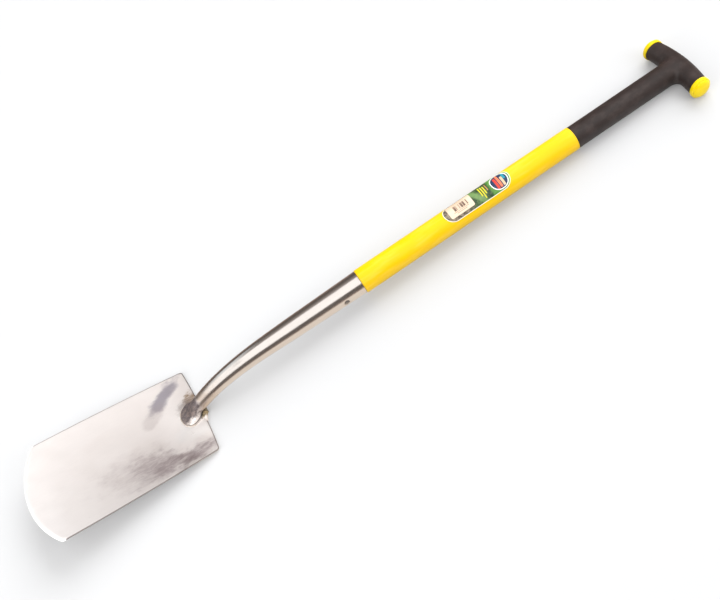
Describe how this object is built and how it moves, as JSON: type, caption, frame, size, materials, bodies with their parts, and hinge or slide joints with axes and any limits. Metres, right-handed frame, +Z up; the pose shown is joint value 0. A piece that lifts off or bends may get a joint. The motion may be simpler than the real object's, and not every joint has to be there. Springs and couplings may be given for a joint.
{
  "type": "digging spade",
  "caption": "Long-handled digging spade with a dished stainless blade, swan-necked steel tube, yellow plastic-sheathed shaft and a black T-shaped grip with yellow end caps.",
  "frame": {"origin": "centre of the part's footprint, on the ground that the heel of the blade and the T-shaped grip lie on", "axes": "+X runs up the shaft from the blade to the grip, +Y across the blade, +Z up, on the side that the blade's front faces"},
  "size_m": [1.1512, 0.172, 0.0548],
  "materials": {
    "stainless_blade": "polished, finely scratched",
    "stainless_tube": "polished",
    "weld": "heat-tinted, ground",
    "rivet_steel": "satin",
    "yellow_jacket": "semi-gloss",
    "yellow_cap": "semi-gloss",
    "soft_black": "matt, fine grain",
    "hard_black": "matt",
    "fibreglass": "smooth",
    "foam": "cellular",
    "plug": "matt",
    "label": "printed film",
    "barcode_paper": "uncoated"
  },
  "bodies": {
    "root": {"blade": "stainless_blade", "neck_tube": "stainless_tube", "weld_front": "weld", "weld_back": "weld", "socket_rivet": "rivet_steel", "shaft_jacket": "yellow_jacket", "shaft_core": "fibreglass", "shaft_foam": "foam", "shaft_plug_lower": "plug", "shaft_plug_upper": "plug", "grip_overmould": "soft_black", "grip_core": "hard_black", "grip_cap_right": "yellow_cap", "grip_cap_left": "yellow_cap", "label": "label", "label_barcode": "barcode_paper"}
  },
  "joints": []
}
